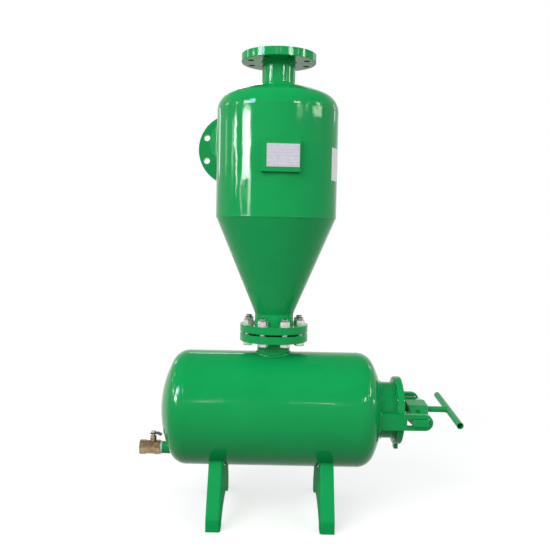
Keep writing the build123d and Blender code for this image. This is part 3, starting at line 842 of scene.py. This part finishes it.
def corner_weld_paths():
    outlet = half_size("outlet_pipe").x
    neck = half_size("tank_neck").x
    hand = half_size("hand_hole_neck").y
    flange = middle("inlet_flange")
    inlet_seat = (flange.x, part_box("inlet_flange")[0].y, flange.z)
    return [
        round_body(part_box("top_head")[1].z, outlet),
        round_body(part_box("outlet_flange")[0].z, outlet),
        round_body(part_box("upper_joint_flange")[1].z, half_size("apex_spigot").x),
        round_body(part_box("lower_joint_flange")[0].z, neck),
        neck_on_tank(neck),
        round_tank(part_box("hand_hole_neck")[0].x, hand),
        round_tank(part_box("hand_hole_ring")[0].x, hand),
        ring(inlet_seat, half_size("inlet_pipe").x, "Y"),
        nipple_on_head(),
        entry_on_body(),
    ]


def seam_weld_paths():
    sunk = SEAM_BEAD_RADIUS - SEAM_BEAD_PROUD
    bottom, top = (corner.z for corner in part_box("cyclone_shell"))
    left, right = (corner.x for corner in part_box("tank_shell"))
    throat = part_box("cyclone_cone")[0].z
    pipe = middle("inlet_pipe")
    pipe_end = (pipe.x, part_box("inlet_pipe")[0].y, pipe.z)
    body_back = body_axis.y + body_radius - sunk
    tank_back = tank_axis.y + tank_radius - sunk
    return [
        round_body(top, body_radius - sunk, SEAM_POINTS),
        round_body(bottom, body_radius - sunk, SEAM_POINTS),
        round_body(throat, half_size("apex_spigot").x - sunk),
        round_tank(left, tank_radius - sunk, SEAM_POINTS),
        round_tank(right, tank_radius - sunk, SEAM_POINTS),
        ring(pipe_end, half_size("inlet_pipe").x - sunk, "Y"),
        ([Vector((body_axis.x, body_back, z)) for z in (bottom, top)], False),
        ([Vector((x, tank_back, tank_axis.z)) for x in (left, right)], False),
    ]


def weld_bead_tree():
    """A rippled bead of weld metal along every path of the starting mesh."""
    sockets = {
        "Bead radius": "Float",
        "Ripple pitch": "Float",
        "Ripple share": "Float",
        "Seed": "Int",
        "Paint": "Material",
    }
    tree, given, answer = new_tree("weld_bead", sockets)
    curve = add(tree, "GeometryNodeMeshToCurve", {"Mesh": given["Geometry"]}).outputs[0]
    half_pitch = number(tree, "MULTIPLY", given["Ripple pitch"], 0.5)
    steps = {"Curve": curve, "Length": half_pitch}
    even = add(tree, "GeometryNodeResampleCurve", steps, mode="LENGTH").outputs[0]
    index = add(tree, "GeometryNodeInputIndex").outputs[0]
    every_other = number(tree, "MODULO", index, 2.0)
    uneven = total(tree, every_other, chance(tree, given["Seed"]))
    dip = number(tree, "MULTIPLY", uneven, given["Ripple share"])
    rippled = {"Curve": even, "Radius": number(tree, "SUBTRACT", 1.0, dip)}
    circle = {"Resolution": BEAD_SIDES, "Radius": given["Bead radius"]}
    tube = {
        "Curve": add(tree, "GeometryNodeSetCurveRadius", rippled).outputs[0],
        "Profile Curve": add(tree, "GeometryNodeCurvePrimitiveCircle", circle).outputs[0],
        "Fill Caps": True,
    }
    bead = add(tree, "GeometryNodeCurveToMesh", tube).outputs[0]
    smooth = add(tree, "GeometryNodeSetShadeSmooth", {"Geometry": bead}).outputs[0]
    return finished(tree, smooth, given["Paint"], answer)


def weld_beads():
    tree = weld_bead_tree()
    arms = [arm_on_head(-1), arm_on_head(1)]
    saddles = [saddle_on_tank("left_saddle", -1), saddle_on_tank("right_saddle", 1)]
    rough, fine = BEAD_RIPPLE_SHARE, SEAM_RIPPLE_SHARE
    runs = {
        "corner_welds": (corner_weld_paths(), CORNER_BEAD_RADIUS, rough, "separator"),
        "arm_welds": (arms, ARM_BEAD_RADIUS, rough, "separator"),
        "saddle_welds": (saddles, FINE_BEAD_RADIUS, rough, "separator"),
        "seam_welds": (seam_weld_paths(), SEAM_BEAD_RADIUS, fine, "separator"),
        "bar_weld": ([bar_on_screw()], FINE_BEAD_RADIUS, rough, "clamp_handle"),
    }
    for name, (paths, radius, ripple, body) in runs.items():
        sizes = {
            "Bead radius": radius,
            "Ripple pitch": BEAD_PITCH,
            "Ripple share": ripple,
            "Seed": BEAD_SEED,
            "Paint": finishes["green_enamel"],
        }
        show(name, settle(name, tree, sizes, paths_mesh(name, paths)), body)


weld_beads()


# Sticker, thread tape, the nut on the valve's lever, and the plate's rivets


def blank_sticker():
    """A thin sheet wrapped round the body."""
    radius = body_radius + STICKER_SHEET
    width, height = STICKER_END - STICKER_START, STICKER_HIGH - STICKER_LOW
    work = bmesh.new()
    grid = []
    for row in range(STICKER_ROWS + 1):
        z = STICKER_LOW + height * row / STICKER_ROWS
        line = []
        for column in range(STICKER_COLUMNS + 1):
            angle = STICKER_START + width * column / STICKER_COLUMNS
            x, y = radius * math.sin(angle), -radius * math.cos(angle)
            line.append(work.verts.new((body_axis.x + x, body_axis.y + y, z)))
        grid.append(line)
    for lower, upper in zip(grid, grid[1:]):
        for i in range(STICKER_COLUMNS):
            face = work.faces.new((lower[i], lower[i + 1], upper[i + 1], upper[i]))
            face.smooth = True
    mesh = bpy.data.meshes.new("blank_sticker")
    work.to_mesh(mesh)
    work.free()
    mesh.materials.append(sticker_vinyl)
    show("blank_sticker", mesh, "separator")


def thread_tape_tree():
    """Tape wound in a flat helix round a pipe that runs along X."""
    sockets = {
        "Radius": "Float",
        "Length": "Float",
        "Turns": "Float",
        "Thickness": "Float",
        "Width": "Float",
        "Place": "Vector",
        "Tape": "Material",
    }
    tree, given, answer = new_tree("thread_tape", sockets)
    winding = {
        "Resolution": TAPE_STEPS,
        "Rotations": given["Turns"],
        "Start Radius": given["Radius"],
        "End Radius": given["Radius"],
        "Height": given["Length"],
    }
    band = {0: given["Thickness"], 1: given["Width"]}
    run = {
        "Curve": add(tree, "GeometryNodeCurveSpiral", winding).outputs[0],
        "Profile Curve": add(tree, "GeometryNodeCurvePrimitiveQuadrilateral", band).outputs[0],
        "Fill Caps": True,
    }
    tape = add(tree, "GeometryNodeCurveToMesh", run).outputs[0]
    lying = moved(tree, tape, given["Place"], (0, math.pi / 2, 0))
    return finished(tree, lying, given["Tape"], answer)


def tape_on_nipple():
    nipple = middle("drain_nipple")
    sizes = {
        "Radius": half_size("drain_nipple").y,
        "Length": TAPE_LENGTH,
        "Turns": TAPE_TURNS,
        "Thickness": TAPE_THICKNESS,
        "Width": TAPE_WIDTH,
        "Place": (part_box("valve_body")[1].x, nipple.y, nipple.z),
        "Tape": thread_tape,
    }
    show("thread_tape", settle("thread_tape", thread_tape_tree(), sizes), "separator")


def stem_nut_tree():
    """A washer and a hex nut standing on their place."""
    sockets = {
        "Hex radius": "Float",
        "Nut height": "Float",
        "Washer radius": "Float",
        "Washer height": "Float",
        "Place": "Vector",
        "Metal": "Material",
    }
    tree, given, answer = new_tree("stem_nut", sockets)
    washer = round_bar(tree, given["Washer radius"], given["Washer height"], 0.0)
    nut = hex_block(tree, given["Hex radius"], given["Nut height"], given["Washer height"])
    standing = moved(tree, joined(tree, [washer, *nut]), given["Place"])
    return finished(tree, standing, given["Metal"], answer)


def nut_on_stem():
    stem = middle("valve_stem")
    sizes = {
        "Hex radius": STEM_NUT_RADIUS,
        "Nut height": STEM_NUT_HEIGHT,
        "Washer radius": STEM_WASHER_RADIUS,
        "Washer height": STEM_WASHER_HEIGHT,
        "Place": (stem.x, stem.y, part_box("valve_lever")[1].z),
        "Metal": zinc_plate,
    }
    show("stem_nut", settle("stem_nut", stem_nut_tree(), sizes), "valve_handle")


def plate_rivets_tree():
    """A flat domed rivet head on every point of the starting mesh."""
    sockets = {
        "Radius": "Float",
        "Height share": "Float",
        "Turn": "Float",
        "Metal": "Material",
    }
    tree, given, answer = new_tree("plate_rivets", sockets)
    ball = {"Segments": RIVET_SEGMENTS, "Rings": RIVET_RINGS, "Radius": given["Radius"]}
    dome = add(tree, "GeometryNodeMeshUVSphere", ball).outputs[0]
    shares = {"X": 1.0, "Y": given["Height share"], "Z": 1.0}
    flat = add(tree, "ShaderNodeCombineXYZ", shares).outputs[0]
    dome = add(tree, "GeometryNodeTransform", {"Geometry": dome, "Scale": flat}).outputs[0]
    turn = along_z(tree, given["Turn"])
    spots = {
        "Points": given["Geometry"],
        "Instance": add(tree, "GeometryNodeSetShadeSmooth", {"Geometry": dome}).outputs[0],
        "Rotation": add(tree, "FunctionNodeEulerToRotation", {0: turn}).outputs[0],
    }
    rivets = add(tree, "GeometryNodeInstanceOnPoints", spots).outputs[0]
    return finished(tree, rivets, given["Metal"], answer)


def plate_rivets():
    half = half_size("nameplate") - Vector((RIVET_INSET, 0, RIVET_INSET))
    turn = Matrix.Rotation(PLATE_TURN, 3, "Z")
    spots = [(x * half.x, RIVET_FRONT, z * half.z) for x in (-1, 1) for z in (-1, 1)]
    points = [([middle("nameplate") + turn @ Vector(spot)], False) for spot in spots]
    sizes = {
        "Radius": RIVET_RADIUS,
        "Height share": RIVET_HEIGHT_SHARE,
        "Turn": PLATE_TURN,
        "Metal": zinc_plate,
    }
    start = paths_mesh("rivet_points", points)
    mesh = settle("plate_rivets", plate_rivets_tree(), sizes, start)
    show("plate_rivets", mesh, "separator")


blank_sticker()
tape_on_nipple()
nut_on_stem()
plate_rivets()


# Stage: floor, background, lamps and camera


def floor():
    """A pale floor that keeps the object's shadow near it, runs out to white and lights little."""
    mesh = bpy.data.meshes.new("floor")
    corners = [(-1, -1), (1, -1), (1, 1), (-1, 1)]
    spots = [(x * FLOOR_REACH, y * FLOOR_REACH, 0) for x, y in corners]
    mesh.from_pydata(spots, [], [(0, 1, 2, 3)])
    material, tree, shader, place = new_material("pale_floor")
    rays = add(tree, "ShaderNodeLightPath").outputs
    mirrored = number(tree, "MAXIMUM", rays["Is Glossy Ray"], rays["Is Transmission Ray"])
    seen = number(tree, "MAXIMUM", rays["Is Camera Ray"], mirrored)
    reach = distance_from_middle(tree, place)
    near = ramp(tree, noise(tree, place, *FLOOR_NOISE), *FLOOR_TINTS)
    pale = mixed(tree, spread(tree, reach, 0, 1, *FLOOR_FADE), near, BLACK)
    glow = number(tree, "MULTIPLY", seen, spread(tree, reach, FLOOR_GLOW, 1, *FLOOR_FADE))
    tree.links.new(mixed(tree, seen, FLOOR_DIM, pale), shader.inputs["Base Color"])
    tree.links.new(glow, shader.inputs["Emission Strength"])
    shader.inputs["Roughness"].default_value = FLOOR_ROUGHNESS
    shader.inputs["Specular IOR Level"].default_value = 0
    shader.inputs["Emission Color"].default_value = (*PLAIN_WHITE, 1)
    mesh.materials.append(material)
    piece = bpy.data.objects.new("floor", mesh)
    bpy.context.collection.objects.link(piece)


def background():
    """A studio that is white all round at the height of the eye, and softer above."""
    world = bpy.data.worlds.new("studio")
    bpy.context.scene.world = world
    world.use_nodes = True
    tree = world.node_tree
    shade = tree.nodes["Background"]
    direction = add(tree, "ShaderNodeTexCoord").outputs["Generated"]
    up = add(tree, "ShaderNodeSeparateXYZ", {0: direction}).outputs["Z"]
    tint = ramp(tree, up, PLAIN_WHITE, OVERHEAD_TINT, *OVERHEAD_FADE)
    tree.links.new(tint, shade.inputs["Color"])
    shade.inputs["Strength"].default_value = 1


def lamp(name, place, target, width, height, watts, tint=PLAIN_WHITE):
    """A rectangular lamp that faces the target."""
    light = bpy.data.lights.new(name, "AREA")
    light.shape = "RECTANGLE"
    light.size = width
    light.size_y = height
    light.energy = watts
    light.color = tint
    piece = bpy.data.objects.new(name, light)
    bpy.context.collection.objects.link(piece)
    piece.location = place
    towards = Vector(target) - Vector(place)
    piece.rotation_euler = towards.to_track_quat("-Z", "Y").to_euler()
    piece.visible_camera = False
    return piece


def around(angle, distance, height):
    """A place round the cyclone's axis, at an angle in degrees from the front to the right."""
    turn = math.radians(angle)
    x, y = distance * math.sin(turn), -distance * math.cos(turn)
    return (body_axis.x + x, body_axis.y + y, height)


def soft_box(name, angle, distance, height, watts):
    """A broad lamp that shades the paint but makes no streak in it."""
    place = around(angle, distance, height)
    target = (body_axis.x, body_axis.y, SOFT_BOX_TARGET)
    box = lamp(name, place, target, SOFT_BOX_SIZE, SOFT_BOX_SIZE, watts)
    box.visible_glossy = False


def mirrored_pane(name, angle, low, high, width, radiance, tint=PLAIN_WHITE, distance=NEAR):
    """An upright pane that shows only as a streak in the gloss of the enamel."""
    level, height = (low + high) / 2, high - low
    place = around(angle, distance, level)
    target = (body_axis.x, body_axis.y, level)
    pane = lamp(name, place, target, width, height, radiance * math.pi * width * height, tint)
    pane.visible_diffuse = False
    pane.light_linking.receiver_collection = enamelled


def camera():
    lens = bpy.data.cameras.new("camera")
    lens.lens = CAMERA_LENS
    lens.sensor_width = CAMERA_SENSOR
    piece = bpy.data.objects.new("camera", lens)
    bpy.context.collection.objects.link(piece)
    pitch = Matrix.Rotation(math.pi / 2 - CAMERA_PITCH, 4, "X")
    roll = Matrix.Rotation(CAMERA_ROLL, 4, "Z")
    foot = Vector((body_axis.x, body_axis.y, 0))
    piece.matrix_world = Matrix.Translation(foot + CAMERA_PLACE) @ (pitch @ roll)
    bpy.context.scene.camera = piece


enamelled = bpy.data.collections.new("enamelled")
for piece in bpy.context.scene.objects:
    if piece.type == "MESH" and "enamel" in piece.material_slots[0].name:
        enamelled.objects.link(piece)

floor()
background()
for name, soft in SOFT_BOXES.items():
    soft_box(name, *soft)
for name, pane in PANES.items():
    mirrored_pane(name, *pane)
camera()
bpy.context.scene.view_settings.view_transform = "Standard"
